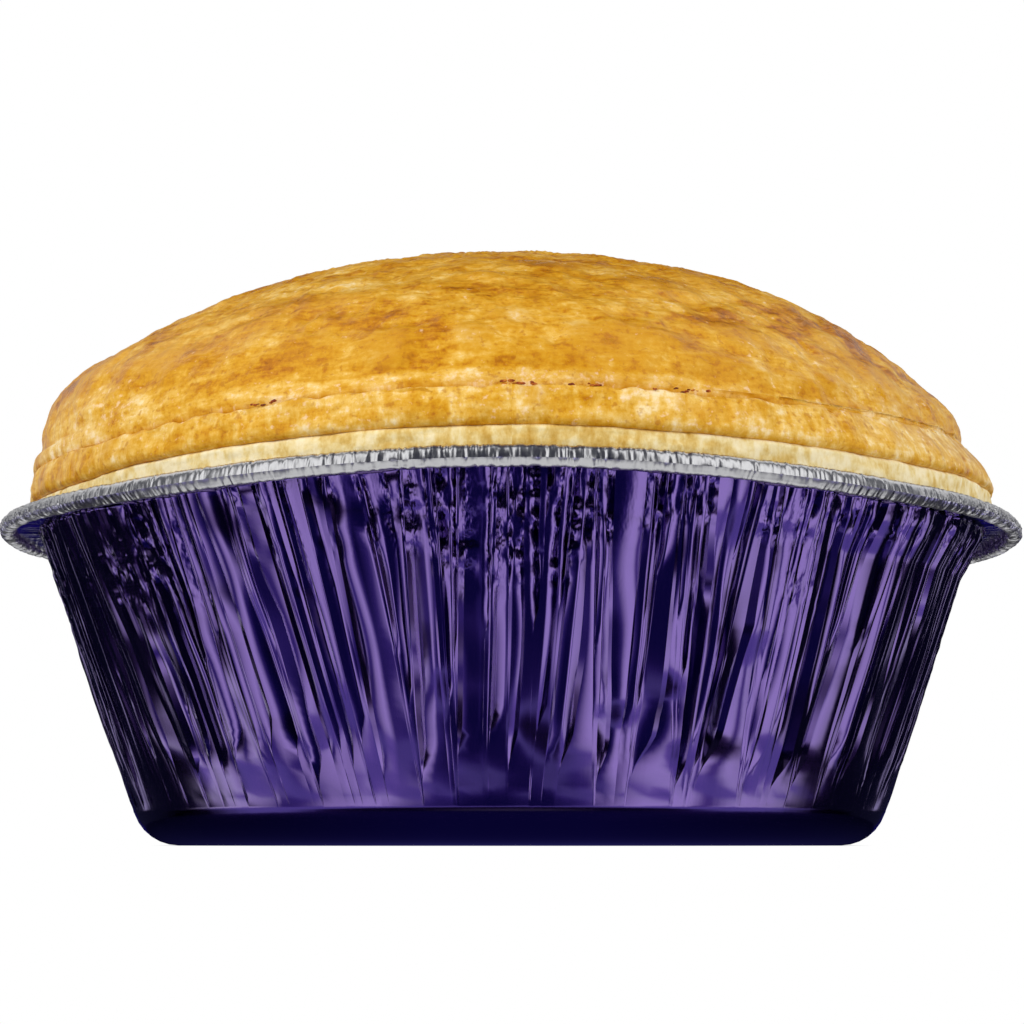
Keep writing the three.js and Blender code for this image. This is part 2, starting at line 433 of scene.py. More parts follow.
def foldedWall(share, circumference):
    # turns and height off the wall for each column at each row's share of the way up
    rng = np.random.default_rng(tin["seed"])
    count = tin["folds"]
    columns = count * tin["columnsPerFold"]
    start = eachFold(rng, "start")
    path, room = foldPaths(rng, share, circumference, start)
    grown = smooth((share - start) / tin["growth"])
    width = eachKind("width")[:, None] * spread(rng, "widthSpread") * grown
    width = width * (1 + tin["widthChange"] * knotNoise(rng, 4, share))
    width = width * (1 - tin["slimmer"] * smooth((share - 0.5) / 0.35))
    taken = np.minimum(np.maximum(width, tin["leastWidth"]) / circumference, tin["mostTaken"] * room)
    steepShare = eachFold(rng, "steep")
    steepFirst = rng.uniform(0, 1, (count, 1)) < 0.5
    first = taken * np.where(steepFirst, steepShare, 1 - steepShare)
    middle = path + taken + (room - taken) / 2
    turns = np.stack([path, path + first, path + taken, middle], axis=1).reshape(columns, -1)
    up = share[None, :] + 0 * turns
    width, gap = taken * circumference, (room - taken) * circumference
    slope = facetSlopes(rng, share, path, gap, grown)

    # a fold goes in as far as its gentle side falls; a few stand out instead
    crushed = crushedShare(turns, up).reshape(count, tin["columnsPerFold"], -1)[:, 1]
    fall = eachFold(rng, "fall") * (1 + tin["fallChange"] * knotNoise(rng, 4, share))
    fall = fall * smooth((share - start) / 0.1) * calmness(path)
    fall = fall * (1 + tin["crushedFall"] * crushed * knotNoise(rng, 34, share))
    inward = np.where(rng.uniform(0, 1, (count, 1)) < 1 - tin["proudShare"], -1.0, 0.5)
    foldSlope = 0.5 * (slope + np.roll(slope, 1, axis=0))
    rise = foldSlope * width + slope * gap
    startHeight = np.cumsum(rise, axis=0) - rise
    startHeight = startHeight - np.linspace(0, 1, count)[:, None] * rise.sum(axis=0)
    valley = startHeight + foldSlope * first * circumference + inward * fall * (1 - steepShare) * width
    end = startHeight + foldSlope * width
    pillow = rng.uniform(0.0, tin["pillow"], (count, 1)) * (0.3 + 0.7 * grown) * gap
    narrow = 1 / (1 + (gap / tin["uncrumpled"]) ** 2)
    crumples = crushed * narrow * tin["crumple"] * knotNoise(rng, 32, share)
    between = end + 0.5 * slope * gap + pillow + crumples
    height = np.stack([startHeight, valley, end, between], axis=1).reshape(columns, -1)
    broad = roundNoises(33, turns, up, *tin["tilts"])
    height = levelled(height) * smooth(share / 0.07) + tin["broadTilt"] * broad * smooth(share / 0.24)

    # leans that bring folds together and apart
    lean = np.interp(degreesOf(turns), [d for d, m in foldLean], [m * mm for d, m in foldLean]) * up
    lean = lean + tin["lean"] * roundNoise(31, 22, 1, turns) * up
    lean = lean + tin["bow"] * roundNoise(32, 30, 2, turns, up) * smooth(up * 3)
    limit = np.where(height < 0, tin["deepest"], tin["proudest"])
    always = np.full_like(steepFirst, True)
    isCrease = np.stack([steepFirst, always, ~steepFirst, ~always], axis=1).ravel()
    return turns + lean / circumference, limit * np.tanh(height / limit), isCrease


def tinRings():
    # from the flat base round the corner, up the wall, out along the flange and back over it
    slope = tin["wallSlope"]
    rings = [(tin["baseRadius"] + tin["cornerRadius"] * math.cos(a), tin["cornerRadius"] * (1 + math.sin(a)))
             for a in np.linspace(-math.pi / 2, -slope, tin["cornerSteps"] + 1)]
    footRadius, footHeight = rings[-1]
    rings += [(footRadius + out, footHeight + up) for out, up in tin["cornerRidge"]]
    cornerRings = len(rings)
    startHeight, topHeight = rings[-1][1], tin["flangeUnder"] - tin["topBend"]
    share = np.concatenate([np.linspace(0, tin["crumpledFrom"], tin["lowRows"] + 1)[1:],
                            np.linspace(tin["crumpledFrom"], 1, tin["highRows"] + 1)[1:]])
    for height in startHeight + (topHeight - startHeight) * share:
        rings.append((footRadius + (height - footHeight) * math.tan(slope), height))
    topRadius = rings[-1][0]
    flangeTop = tin["flangeUnder"] + tin["flangeThickness"]
    rings += [(topRadius + 0.07 * mm, topHeight + 0.17 * mm),
              (topRadius + tin["topBend"], tin["flangeUnder"]),
              (tin["flangeEnd"], tin["flangeUnder"]),
              (tin["flangeEnd"], flangeTop), (topRadius - 0.2 * mm, flangeTop)]
    return rings, cornerRings


flangeRings = 4     # the last rings of the tin, past the bend


def innerRings(wallRings):
    # down the inside of the wall with fewer rings, and round the inside of the corner
    inner = [(r - tin["innerSkin"], h) for r, h in wallRings[::12]][::-1]
    topRadius, topHeight = wallRings[-1]
    inner.insert(0, (topRadius - tin["innerSkin"], topHeight))
    middle, radius = tin["baseRadius"] - 0.4 * mm, tin["cornerRadius"] - tin["innerSkin"]
    return inner + [(middle + radius * math.cos(a), tin["cornerRadius"] + radius * math.sin(a))
                    for a in np.linspace(-math.pi / 2, -tin["wallSlope"], tin["cornerSteps"] + 1)[::-1]]


def makeTin(material):
    columns = tin["folds"] * tin["columnsPerFold"]
    rings, cornerRings = tinRings()
    wallRings = rings[cornerRings:cornerRings + tin["lowRows"] + tin["highRows"]]
    startHeight, topHeight = rings[cornerRings - 1][1], wallRings[-1][1]
    piece = turnRings("crinkledTin", rings, columns, True, False)
    skin = turnRings("innerSkin", innerRings(wallRings), tin["innerColumns"], False, True)
    bridgeOpenEnds(joined(skin, piece))

    # the outer rings take the folds; the rings come first in the mesh, one after another
    points = readPoints(piece)
    outer = len(rings) * columns
    turns = roundOf(points[:outer])[0].reshape(len(rings), columns)
    order = np.argsort(np.round(turns[0] * columns).astype(int) % columns)
    columnOf = np.empty(columns, dtype=int)      # which column of the folded wall each vertex of a ring took
    columnOf[order] = np.arange(columns)
    radius, height = (np.array(side)[:, None] + np.zeros((1, columns)) for side in zip(*rings))
    share = np.clip((height[:, 0] - startHeight) / (topHeight - startHeight), 0, 1)
    foldTurns, foldHeight, isCrease = foldedWall(share, fullTurn * radius[:, 0])
    fade = np.ones(len(rings))
    fade[:cornerRings] = 0
    fade[-flangeRings - 1:] = (0.95, 0.7, 0, 0, 0)
    radius = radius + foldHeight.T * fade[:, None] / math.cos(tin["wallSlope"])
    radius = radius - squashedIn(foldTurns.T, height)
    ringPoints = points[:outer].reshape(len(rings), columns, 3)
    ringPoints[:, order] = onEdge(foldTurns.T, radius, height)
    points[:outer] = ringPoints.reshape(-1, 3)
    turns, radius, height = roundOf(points[outer:])
    wave = edgeWave(turns, radius, height)
    points[outer:] = onCircle(turns, radius - squashedIn(turns, height), height + wave)
    writePoints(piece, points)

    turns, radius, height = roundOf(points)
    up = (height - startHeight) / (topHeight - startHeight)
    crushed = crushedShare(turns, np.clip(up, 0, 1)) * smooth(up / 0.15)
    isValley = np.tile(columnOf % tin["columnsPerFold"] == 1, len(rings))
    crushed[:outer] *= np.where(isValley, 1.0, tin["betweenFolds"])
    crushed[outer - flangeRings * columns:outer] = 0
    writeColours(piece, "crush", crushed)
    wrapUv(piece, rimRadius)
    smoothByAngle(piece, tin["crease"])
    # on the wall only the two edges of each fold's steep side are sharp creases
    ends, sharp = readEdges(piece)
    ringOf, placeOf = ends // columns, columnOf[ends % columns]
    onWall = (ringOf >= cornerRings) & (ringOf < len(rings) - flangeRings)
    onWall = onWall.all(axis=1)
    upright = onWall & (placeOf[:, 0] == placeOf[:, 1])
    sharp[onWall] = False
    sharp[upright] = isCrease[placeOf[upright, 0]]
    piece.data.edges.foreach_set("use_edge_sharp", sharp)
    finishPiece(piece, material, "foil_tin")


# The rolled rim.
rim = {
    "columns": 3200,
    "steps": 20,
    "crimpDepth": 0.20 * mm,
    "crimpSpacing": 0.50 * mm,
    "fineCrimps": 0.35,           # crimps at half the spacing, as a share of the depth
    "dentDepth": 0.08 * mm,
    "dents": ((1, 150, 2), (1, 60, 1)),
    "flatCrimps": 0.25,           # how much shallower the crimps are where the roll is pressed flat
    "sideCrimps": 0.7,            # how much deeper they are at the sides and back
    "softer": 0.45,               # and how much shallower halfway to each side
    "sideBelow": -0.05,           # how much taller the roll is at the sides and back under its widest line
    "sideAbove": -0.10,           # and over it
    "backLift": 0.6 * mm,         # the roll is bent up this far at the back
    "sideOut": 0.18 * mm,         # it stands out this far at the sides and back
    "leftOut": 0.13 * mm,         # more on the left, less on the right
    "rightDrop": 0.45 * mm,       # the roll is bent down this far on the right
    "pressed": (math.radians(3), math.radians(80)),    # from and to, down from its widest line
    "crease": 50,                 # degrees
    "plateInner": 54.9 * mm,
    "plateRings": (56.2 * mm, 55.6 * mm),
    "plateOverlap": 0.3 * mm,
    "plateColumns": 480,
    "plateHeight": 35.72 * mm,
    "plateThickness": 0.2 * mm,
    "seed": 41,
}


def bridgedRings(name, rings, columns):
    # rings all the way round a section, the last joined to the first
    piece = turnRings(name, rings, columns, False, False)
    bridgeOpenEnds(piece)
    return piece


def rougherRim(turns):
    # 0 at the front and 1 at the sides and back, where the roll is crumpled more and not pressed
    return smooth((0.78 - frontness(turns)) / 0.35)


def makeBead():
    half = edge["beadWidth"] / 2
    middle, widest = rimRadius - half, rimHeight - edge["beadDrop"]
    rings = []
    for n in range(rim["steps"]):
        a = math.pi - fullTurn * n / rim["steps"]
        tall = edge["beadAbove"] if math.sin(a) > 0 else edge["beadBelow"]
        rings.append((middle + half * math.cos(a), widest + tall * math.sin(a)))
    bead = bridgedRings("rolledRim", rings, rim["columns"])

    turns, radius, height = roundOf(readPoints(bead))
    tall = np.where(height > widest, edge["beadAbove"], edge["beadBelow"])
    around = np.arctan2((height - widest) / tall, (radius - middle) / half)
    section = (around / fullTurn) % 1.0
    rougher = rougherRim(turns)
    # in front the roll's lower outside is pressed flat and looks down
    first, last = rim["pressed"]
    pressed = np.clip((-first - around) / (last - first), 0, 1)
    flat = ((pressed > 0) & (pressed < 1)) * (1 - rougher)
    flatRadius = middle + half * (math.cos(first) + (math.cos(last) - math.cos(first)) * pressed)
    drop = math.sin(first) + (math.sin(last) - math.sin(first)) * pressed
    flatHeight = widest - edge["beadBelow"] * drop
    radius = radius + (flatRadius - radius) * flat
    height = height + (flatHeight - height) * flat
    stretch = np.where(height < widest, rim["sideBelow"], rim["sideAbove"])
    height = widest + (height - widest) * (1 + stretch * rougher)

    crimps = int(fullTurn * rimRadius / rim["crimpSpacing"])
    coarse = np.abs(roundNoise(rim["seed"], crimps, 4, turns, section))
    fine = np.abs(roundNoise(rim["seed"] + 1, crimps * 2, 7, turns, section))
    dent = roundNoises(rim["seed"] + 2, turns, section, *rim["dents"])
    toRight = rightness(turns)
    halfway = smooth((np.abs(toRight) - 0.2) / 0.15) * (1 - rougher)
    depth = rim["crimpDepth"] * (1 - rim["flatCrimps"] * flat) * (1 - rim["softer"] * halfway)
    depth = depth * (1 + rim["sideCrimps"] * rougher)
    inwards = (coarse + rim["fineCrimps"] * fine) * depth + rim["dentDepth"] * smooth(dent)
    radius = radius - inwards * np.cos(around) + (rim["sideOut"] - rim["leftOut"] * toRight) * rougher
    height = height - inwards * np.sin(around) * 0.8 - rim["rightDrop"] * smooth((toRight - 0.8) / 0.2)
    height = height + rim["backLift"] * smooth(-frontness(turns) / 0.3)
    writePoints(bead, onEdge(turns, radius, height))
    smoothByAngle(bead, rim["crease"])
    # the edge over the pressed part is crisp all the way round
    ends, sharp = readEdges(bead)
    sharp |= (ends // rim["columns"] == rim["steps"] // 2).all(axis=1)
    bead.data.edges.foreach_set("use_edge_sharp", sharp)
    return bead


def makePlate():
    # the flat flange between the bead and the pastry
    under, inner = rim["plateHeight"], rim["plateInner"]
    top = under + rim["plateThickness"]
    outer = rimRadius - edge["beadWidth"] + rim["plateOverlap"]
    rings = [(inner, under), (outer, under), (outer, top)]
    rings += [(radius, top) for radius in (*rim["plateRings"], inner)]
    plate = bridgedRings("flangePlate", rings, rim["plateColumns"])
    writePoints(plate, onEdge(*roundOf(readPoints(plate))))
    return plate


def makeRim(material):
    bead = makeBead()
    piece = joined(makePlate(), bead)
    wrapUv(piece, rimRadius)
    writeColours(piece, "crush", rougherRim(roundOf(readPoints(piece))[0]))
    finishPiece(piece, material, "foil_tin")


# The shortcrust case.
crust = {
    "columns": 720,
    "floor": 1.2 * mm,
    "floorInset": 1.2 * mm,
    "corner": (2.2 * mm, 2.6 * mm),          # out from the tin's flat base, and up from the floor
    "seatInset": 0.6 * mm,
    "edgeRadius": 56.5 * mm,
    "edgeTop": 39.75 * mm,
    "edgeFoot": 36.15 * mm,
    "edgeRows": 12,
    "upright": 0.4 * mm,                     # its side is upright to this far from its foot and its top
    "footRound": ((-2.0, 0), (-0.5, 0.1)),   # in mm, out from its side and up from its foot
    "topRound": ((-0.3, -0.1), (-1.6, 0)),   # and from its top
    "lump": 0.16 * mm,
    "lumps": ((1, 90, 2), (0.6, 220, 4)),
    "grain": 0.05 * mm,
    "brownedAt": 0.01,                       # browned most at this turn, and this far to each side
    "brownedWidth": 0.05,
    "seed": 61,
}


def makeCase(material):
    foot, top, side = crust["edgeFoot"], crust["edgeTop"], crust["edgeRadius"]
    cornerRadius, cornerHeight = tin["baseRadius"] + crust["corner"][0], crust["floor"] + crust["corner"][1]
    seat = cornerRadius + (foot - cornerHeight) * math.tan(tin["wallSlope"]) - crust["seatInset"]
    rings = [(tin["baseRadius"] - crust["floorInset"], crust["floor"]), (cornerRadius, cornerHeight),
             (seat, foot - 0.1 * mm)]
    rings += [(side + out * mm, foot + up * mm) for out, up in crust["footRound"]]
    rings += [(side, height) for height in np.linspace(foot + crust["upright"], top - crust["upright"],
                                                       crust["edgeRows"] + 1)]
    rings += [(side + out * mm, top + up * mm) for out, up in crust["topRound"]]
    piece = turnRings("shortcrustCase", rings, crust["columns"], True, True)
    turns, radius, height = roundOf(readPoints(piece))
    onSide = smooth((radius - 54.5 * mm) / (1.2 * mm))
    share = (height - foot) / (top - foot)
    lump = roundNoises(crust["seed"], turns, share, *crust["lumps"])
    grain = roundNoise(crust["seed"] + 2, 700, 9, turns, share)
    radius = radius + onSide * (crust["lump"] * lump + crust["grain"] * grain)
    radius = radius - squashedIn(turns, height) * smooth((radius - 20 * mm) / (15 * mm))
    writePoints(piece, onEdge(turns, radius, height - sagged(turns, "bottom") * smooth(share)))
    fromBrowned = (turns + 0.5 - crust["brownedAt"]) % 1.0 - 0.5
    baked = np.exp(-(fromBrowned / crust["brownedWidth"]) ** 2)
    baked = baked + 0.3 * roundNoise(crust["seed"] + 3, 26, 1, turns, share)
    writeColours(piece, "baked", baked)
    wrapUv(piece, side)
    bpy.ops.object.shade_smooth()
    finishPiece(piece, material, "pastry_case")


# The puff pastry lid: its cut edge band, and the dome.
lid = {
    "columns": 880,
    "underside": 39.8 * mm,
    "lipRadius": 56.9 * mm,
    "bandTop": 43.1 * mm,
    "bandRise": 1.8 * mm,          # the band climbs this much on the right, where the dome is narrower
    "bandLean": 1.45,              # and leans in this much for each part that it climbs
    "bubble": 0.20 * mm,
    "bubbles": ((1, 130, 2), (0.6, 300, 3)),
    "pores": 0.07 * mm,
    "raggedTop": 0.22 * mm,
    "domeFoot": 44.0 * mm,
    "domeRise": lidHigh.z - 44.0 * mm,
    "radiusLeft": 56.7 * mm,
    "radiusRight": 53.7 * mm,
    # how the dome turns under at its foot, in mm out from its side and up from its foot
    "footRound": ((-2.4, -1.08), (-0.8, -1.05), (-0.4, -0.98), (-0.2, -0.8), (-0.08, -0.45)),
    "crownPower": 1.756,
    "crownRound": 0.09,            # keeps the crown from coming to a point
    "shoulderPower": 1.711,
    "domeRows": 106,
    "slope": 64 * mm,              # from the crown down to the foot along the crust
    "settle": 0.45 * mm,
    "swell": 0.60 * mm,
    "blister": 0.50 * mm,
    "wrinkle": 0.15 * mm,
    "flake": 0.11 * mm,
    "sheets": ((2.2, 44, 9), (1, 120, 20)),    # thin layers, wide round the pie and short down it
    "sheetCount": 9,
    "sheetEnd": 0.85,              # share of a layer after which it drops to the next
    "layer": 0.09 * mm,
    "layers": ((1, 60, 46), (0.6, 150, 100)),
    "rough": 0.03 * mm,
    # where it swells at the sides: left or right, distance down from the crown, half width, outwards
    "shoulders": ((-1, 58.5, 4.2, 0.9), (-1, 64.8, 1.6, -0.5), (1, 61.5, 3.0, 0.9), (1, 52, 7, 0.4)),
    # strewn patches: lowest and highest half width and half height, in mm, and strength
    "strewn": ((2, 7), (1.2, 3), (0.25, 0.8)),
    "seed": 101,
}
# The band's outline, in mm out from its lip and up from its underside.
bandOutline = ((-2.6, -0.15), (-0.9, -0.15), (-0.45, -0.08), (-0.18, 0.15), (-0.05, 0.5), (0.0, 0.9),
               (0.0, 1.3), (-0.03, 1.7), (-0.07, 2.05), (-0.12, 2.35), (-0.17, 2.65), (-0.24, 2.92),
               (-0.34, 3.12), (-0.55, 3.26), (-1.4, 3.28), (-2.6, 3.1))
# How far the lid's edge hangs down, in mm, by degrees round from the front.
lidSag = {
    "degrees": (-180, -120, -80, -55, -44, -30, -19, -11, 15, 35, 60, 180),
    "bottom": (0.2, 0.8, 1.4, 1.3, 0.6, 0.45, 0.42, 0.43, 0.4, 0.1, 0.0, 0.2),
    "top": (0.0, 0.6, 1.4, 0.95, 0.8, 0.3, 0.15, 0.0, 0.0, 0.0, 0.0, 0.0),
}
# Patches by degrees round from the front, distance down from the crown, half width, half height
# (all in mm) and strength. More are strewn over the rest of the dome.
glazedPatches = (
    (-13, 60.5, 4, 2.6, 1.0), (-4, 60, 2.5, 2, 0.9), (13, 59.5, 9, 2.4, 1.0), (20, 45, 5, 3, 0.9),
    (8, 38, 5, 3, 0.8), (-22, 59.5, 5, 2.5, 0.6), (-44, 58, 8, 3.5, 0.8), (-58, 57, 5, 4, 0.9),
    (49, 59, 5, 3, 0.8), (28, 57, 5, 3, 0.8), (-31, 55, 4, 3, 0.6), (-13, 62.3, 2.4, 1.5, 1.0),
    (9, 62, 8, 1.6, 0.8), (22, 61.5, 7, 2, 0.8), (2, 62.3, 4, 1.2, 0.6), (33, 62, 4, 1.5, 0.6),
)
brownedPatches = (
    (-62, 55, 7, 4, 1.0), (5, 38.5, 6, 2, 1.0), (52, 56, 8, 2, 1.0), (26, 55, 5, 2.5, 0.6),
    (-29, 54, 5, 2, 0.6), (42, 49, 8, 4, 0.8), (16, 50, 7, 2, 0.6), (-9, 58.5, 2.5, 2, 0.7),
    (36, 50, 9, 5, 0.6), (54, 50, 9, 4, 0.7), (30, 42, 9, 4, 0.5), (-55, 50, 9, 4, 0.5),
)
# Pale patches and painted highlights: the narrow strips along the dome's foot, 64.4 mm and more down, are
# painted highlight as well as pale pastry, and the strip at -4 degrees is a painted highlight.
creamAndHighlightPatches = (
    (-50, 63, 13, 2.4, 0.9), (-28, 64.4, 6, 1.0, 0.9), (46, 62, 8, 2.4, 0.8), (45, 54, 2.0, 3, 0.6),
    (-13, 64.7, 5, 0.7, 0.8), (-4, 64.9, 3.4, 0.6, 1.0), (6, 64.8, 4, 0.6, 0.8), (14, 64.8, 4, 0.6, 0.8),
    (25, 64.7, 4, 0.6, 0.7), (28, 60.3, 0.9, 2.2, 0.9), (36, 56.8, 2.2, 1.4, 0.7), (18, 51.2, 3.6, 1.3, 0.8),
    (-5, 55.5, 1.0, 2.4, 0.6), (-4, 60.5, 2.3, 0.9, 0.5), (1, 57, 1.3, 1.2, 0.6), (-24, 49, 3, 1.5, 0.4),
    (-30, 58, 4, 1.2, 0.4),
)


def sagged(turns, name):
    # how far the lid's edge hangs down there, at its bottom or its top
    return np.interp(degreesOf(turns), lidSag["degrees"], lidSag[name]) * mm


def bandRise(turns):
    return lid["bandRise"] * smooth((rightness(turns) - 0.15) / 0.85)


def bandInset(turns):
    return lid["bandLean"] * bandRise(turns)


def alongBand(turns, inwards, upwards):
    # radius and height this far in from the band's side and up from its top edge
    return (lid["lipRadius"] - inwards - bandInset(turns),
            lid["bandTop"] + upwards + bandRise(turns) - sagged(turns, "top"))


def domeRadius(turns):
    share = (1 + rightness(turns)) / 2
    return lid["radiusLeft"] + (lid["radiusRight"] - lid["radiusLeft"]) * share


def patchField(patches, strewn, seed, turns, along, radius):
    # soft-edged patches with ragged outlines: the listed ones, and strewn ones everywhere
    rng = np.random.default_rng(seed)
    ragged = 1 + roundNoises(seed, turns, along / lid["slope"], (0.35, 90, 16), (0.2, 240, 40))
    field = np.zeros(len(turns))
    widths, heights, strengths = lid["strewn"]
    everywhere = [(rng.uniform(-180, 180), lid["slope"] / mm * math.sqrt(rng.uniform()),
                   rng.uniform(*widths), rng.uniform(*heights), rng.uniform(*strengths))
                  for n in range(strewn)]
    for degrees, distance, halfWidth, halfHeight, strength in (*patches, *everywhere):
        around = ((turns - degrees / 360 + 0.5) % 1.0 - 0.5) * fullTurn * radius
        far = np.hypot(around / (halfWidth * mm), (along - distance * mm) / (halfHeight * mm)) * ragged
        field = np.maximum(field, smooth(1.35 - far) * strength)
    return field


def makeBand(material):
    lip, low, seed = lid["lipRadius"], lid["underside"], lid["seed"]
    rings = [(lip + out * mm, low + up * mm) for out, up in bandOutline]
    piece = turnRings("puffBand", rings, lid["columns"], True, True)
    turns, radius, height = roundOf(readPoints(piece))
    share = (height - low) / (lid["bandTop"] - low)
    onSide = smooth((radius - (lip - 2.3 * mm)) / (1.2 * mm))
    bubble = roundNoises(seed, turns, share, *lid["bubbles"])
    pores = roundNoise(seed + 2, 760, 6, turns, share)
    radius = radius + onSide * (lid["bubble"] * bubble + lid["pores"] * pores)
    topEdge = smooth((share - 0.75) / 0.25)
    height = height + topEdge * onSide * lid["raggedTop"] * roundNoise(seed + 3, 240, 1, turns)
    height = height + bandRise(turns) * smooth(share)
    height = height - sagged(turns, "bottom") * (1 - share) - sagged(turns, "top") * share
    radius = radius - smooth(share) ** 1.4 * bandInset(turns)
    writePoints(piece, onEdge(turns, radius, height))
    # glazed on its bubbles, darker at its foot, cream along its top with painted glints in ticks there, and
    # less cream on the left
    glazed = smooth(bubble * 1.3 - 0.25) * smooth((share - 0.15) / 0.4) * 0.8
    # darker towards its foot, where it meets the crust
    darkened = smooth(1 - np.abs(share) / 0.12) * 0.15
    # painted glints: pale ticks along its top
    glintTicks = roundNoise(seed + 4, 200, 1, turns) + 0.8 * roundNoise(seed + 5, 430, 2, turns, share)
    creamAndHighlight = 0.62 + smooth((share - 0.55) / 0.3) * (0.15 + 0.8 * smooth(glintTicks * 1.5 - 0.2))
    creamAndHighlight = creamAndHighlight * (1 - 0.6 * smooth((-rightness(turns) - 0.3) / 0.5))
    writeColours(piece, "tone", glazed, darkened, creamAndHighlight)
    wrapUv(piece, lip)
    bpy.ops.object.shade_smooth()
    finishPiece(piece, material, "pastry_lid")


def domeRings():
    side, foot, rows = lid["radiusLeft"], lid["domeFoot"], lid["domeRows"]
    rings = [(side + out * mm, foot + up * mm) for out, up in lid["footRound"]]
    for n in range(rows + 1):
        s = max(math.cos(math.pi / 2 * n / rows), 0.002)
        rounded = math.hypot(s, lid["crownRound"] * (1 - s))
        up = max(0, 1 - rounded ** lid["crownPower"]) ** (1 / lid["shoulderPower"])
        rings.append((side * s, foot + lid["domeRise"] * up + 0.02 * mm * n / rows))
    return rings


def downFromCrown(rings, height):
    # how far each height is from the crown, down along the crust
    steps = [math.hypot(r - q, h - g) for (q, g), (r, h) in zip(rings, rings[1:])]
    distance = np.cumsum([0] + steps[::-1])[::-1]
    upwards = len(lid["footRound"]) - 1       # from here on each ring is higher than the one before
    return np.interp(height, [h for r, h in rings[upwards:]], distance[upwards:])


def makeDome(material):
    widest, foot = lid["radiusLeft"], lid["domeFoot"]
    rings = domeRings()
    piece = turnRings("puffDome", rings, lid["columns"], True, True)
    turns, radius, height = roundOf(readPoints(piece))
    along = downFromCrown(rings, height)
    # it is lifted where the band climbs, and narrower there
    lift = 0.85 * np.clip(bandRise(turns) - np.maximum(height - foot, 0), 0, None)
    lift = lift * smooth((radius / widest - 0.9) / 0.08)
    radius = radius * domeRadius(turns) / widest
    height = height + lift - sagged(turns, "top") * smooth(1 - (height - foot) / (9 * mm))
    height = height + edgeWave(turns, radius, height)
    points = onCircle(turns, radius, height)
    writePoints(piece, points)
    normals = np.empty(len(points) * 3, dtype=np.float32)
    piece.data.vertices.foreach_get("normal", normals)

    x, y = along * rightness(turns), -along * frontness(turns)
    share = along / lid["slope"]
    seed = lid["seed"] + 20
    glazed = patchField(glazedPatches, 70, seed + 30, turns, along, radius)
    darkened = patchField(brownedPatches, 60, seed + 40, turns, along, radius)
    creamAndHighlight = patchField(creamAndHighlightPatches, 40, seed + 50, turns, along, radius)
    # the dome's foot, over the crease, is paler: pale pastry where layers part and painted highlight both,
    # broken up by this noise
    parted = roundNoises(seed + 60, turns, 0, (1, 80, 1), (0.6, 210, 1))
    creamAndHighlight = np.maximum(creamAndHighlight, smooth((along - 63.9 * mm) / (0.9 * mm)) * smooth(0.7 + 0.5 * parted))
    onSide = smooth((along - 26 * mm) / (22 * mm))
    swell = layeredNoise(seed, 22 * mm, x, y)
    wrinkle = 1 - 2 * np.abs(layeredNoise(seed + 5, 4.2 * mm, x, y))
    rough = layeredNoise(seed + 9, 1.5 * mm, x, y, 2)
    # each thin layer ends in a small step; they run round the pie, and fade out before the crown
    end = lid["sheetEnd"]
    step = (roundNoises(seed + 14, turns, share, *lid["sheets"]) + share * lid["sheetCount"]) % 1.0
    offCrown = smooth((along - 4 * mm) / (16 * mm))
    flake = (smooth(step / end) - smooth((step - end) / (1 - end))) * offCrown
    layer = roundNoises(seed + 21, turns, share, *lid["layers"])
    unglazed = 1 - 0.5 * glazed
    finely = (lid["flake"] * flake + lid["wrinkle"] * wrinkle + lid["rough"] * rough
              + lid["layer"] * layer * onSide)
    relief = lid["swell"] * swell + lid["blister"] * glazed + finely * unglazed
    free = smooth((height - foot + 0.4 * mm) / (2.2 * mm))
    relief = (relief - lid["settle"]) * (0.3 + 0.7 * free)
    # its sides swell out over the band
    for toSide, middle, halfWidth, out in lid["shoulders"]:
        near = np.exp(-((along - middle * mm) / (halfWidth * mm)) ** 2)
        relief = relief + out * mm * near * smooth((toSide * rightness(turns) - 0.6) / 0.35)
    relief[height < foot - 0.4 * mm] = 0
    writePoints(piece, points + normals.reshape(-1, 3) * relief[:, None])
    edges = smooth(1 - np.abs(step - 0.92) / 0.08) * unglazed * offCrown
    feet = (1 - smooth(step / 0.1)) * unglazed * offCrown
    writeColours(piece, "tone", glazed, np.maximum(darkened, 0.4 * edges), np.maximum(creamAndHighlight, 0.5 * feet))
    writeColours(piece, "crown", 1 - offCrown)
    wrapUv(piece, widest, lid["slope"] - along)
    bpy.ops.object.shade_smooth()
    finishPiece(piece, material, "pastry_lid")


# Thin flakes that have lifted along the top of the band.
flakes = {
    "count": 90,
    "length": (1.5 * mm, 5.5 * mm),
    "rise": (0.08 * mm, 0.30 * mm),
    "root": 0.45 * mm,             # how far down a flake starts, inside the band
    "inset": 0.38 * mm,            # and how far in from the band's side
    "foot": -0.25 * mm,            # up from the band's top edge
    "lean": 0.35,                  # how far it leans out or in, over its height
    "leanSpread": (-0.6, 1),
    "ragged": (0.7, 1.0),
    "curl": 0.12 * mm,
    "thickness": 0.12 * mm,
    "crease": 40,                  # degrees
    "seed": 211,
}


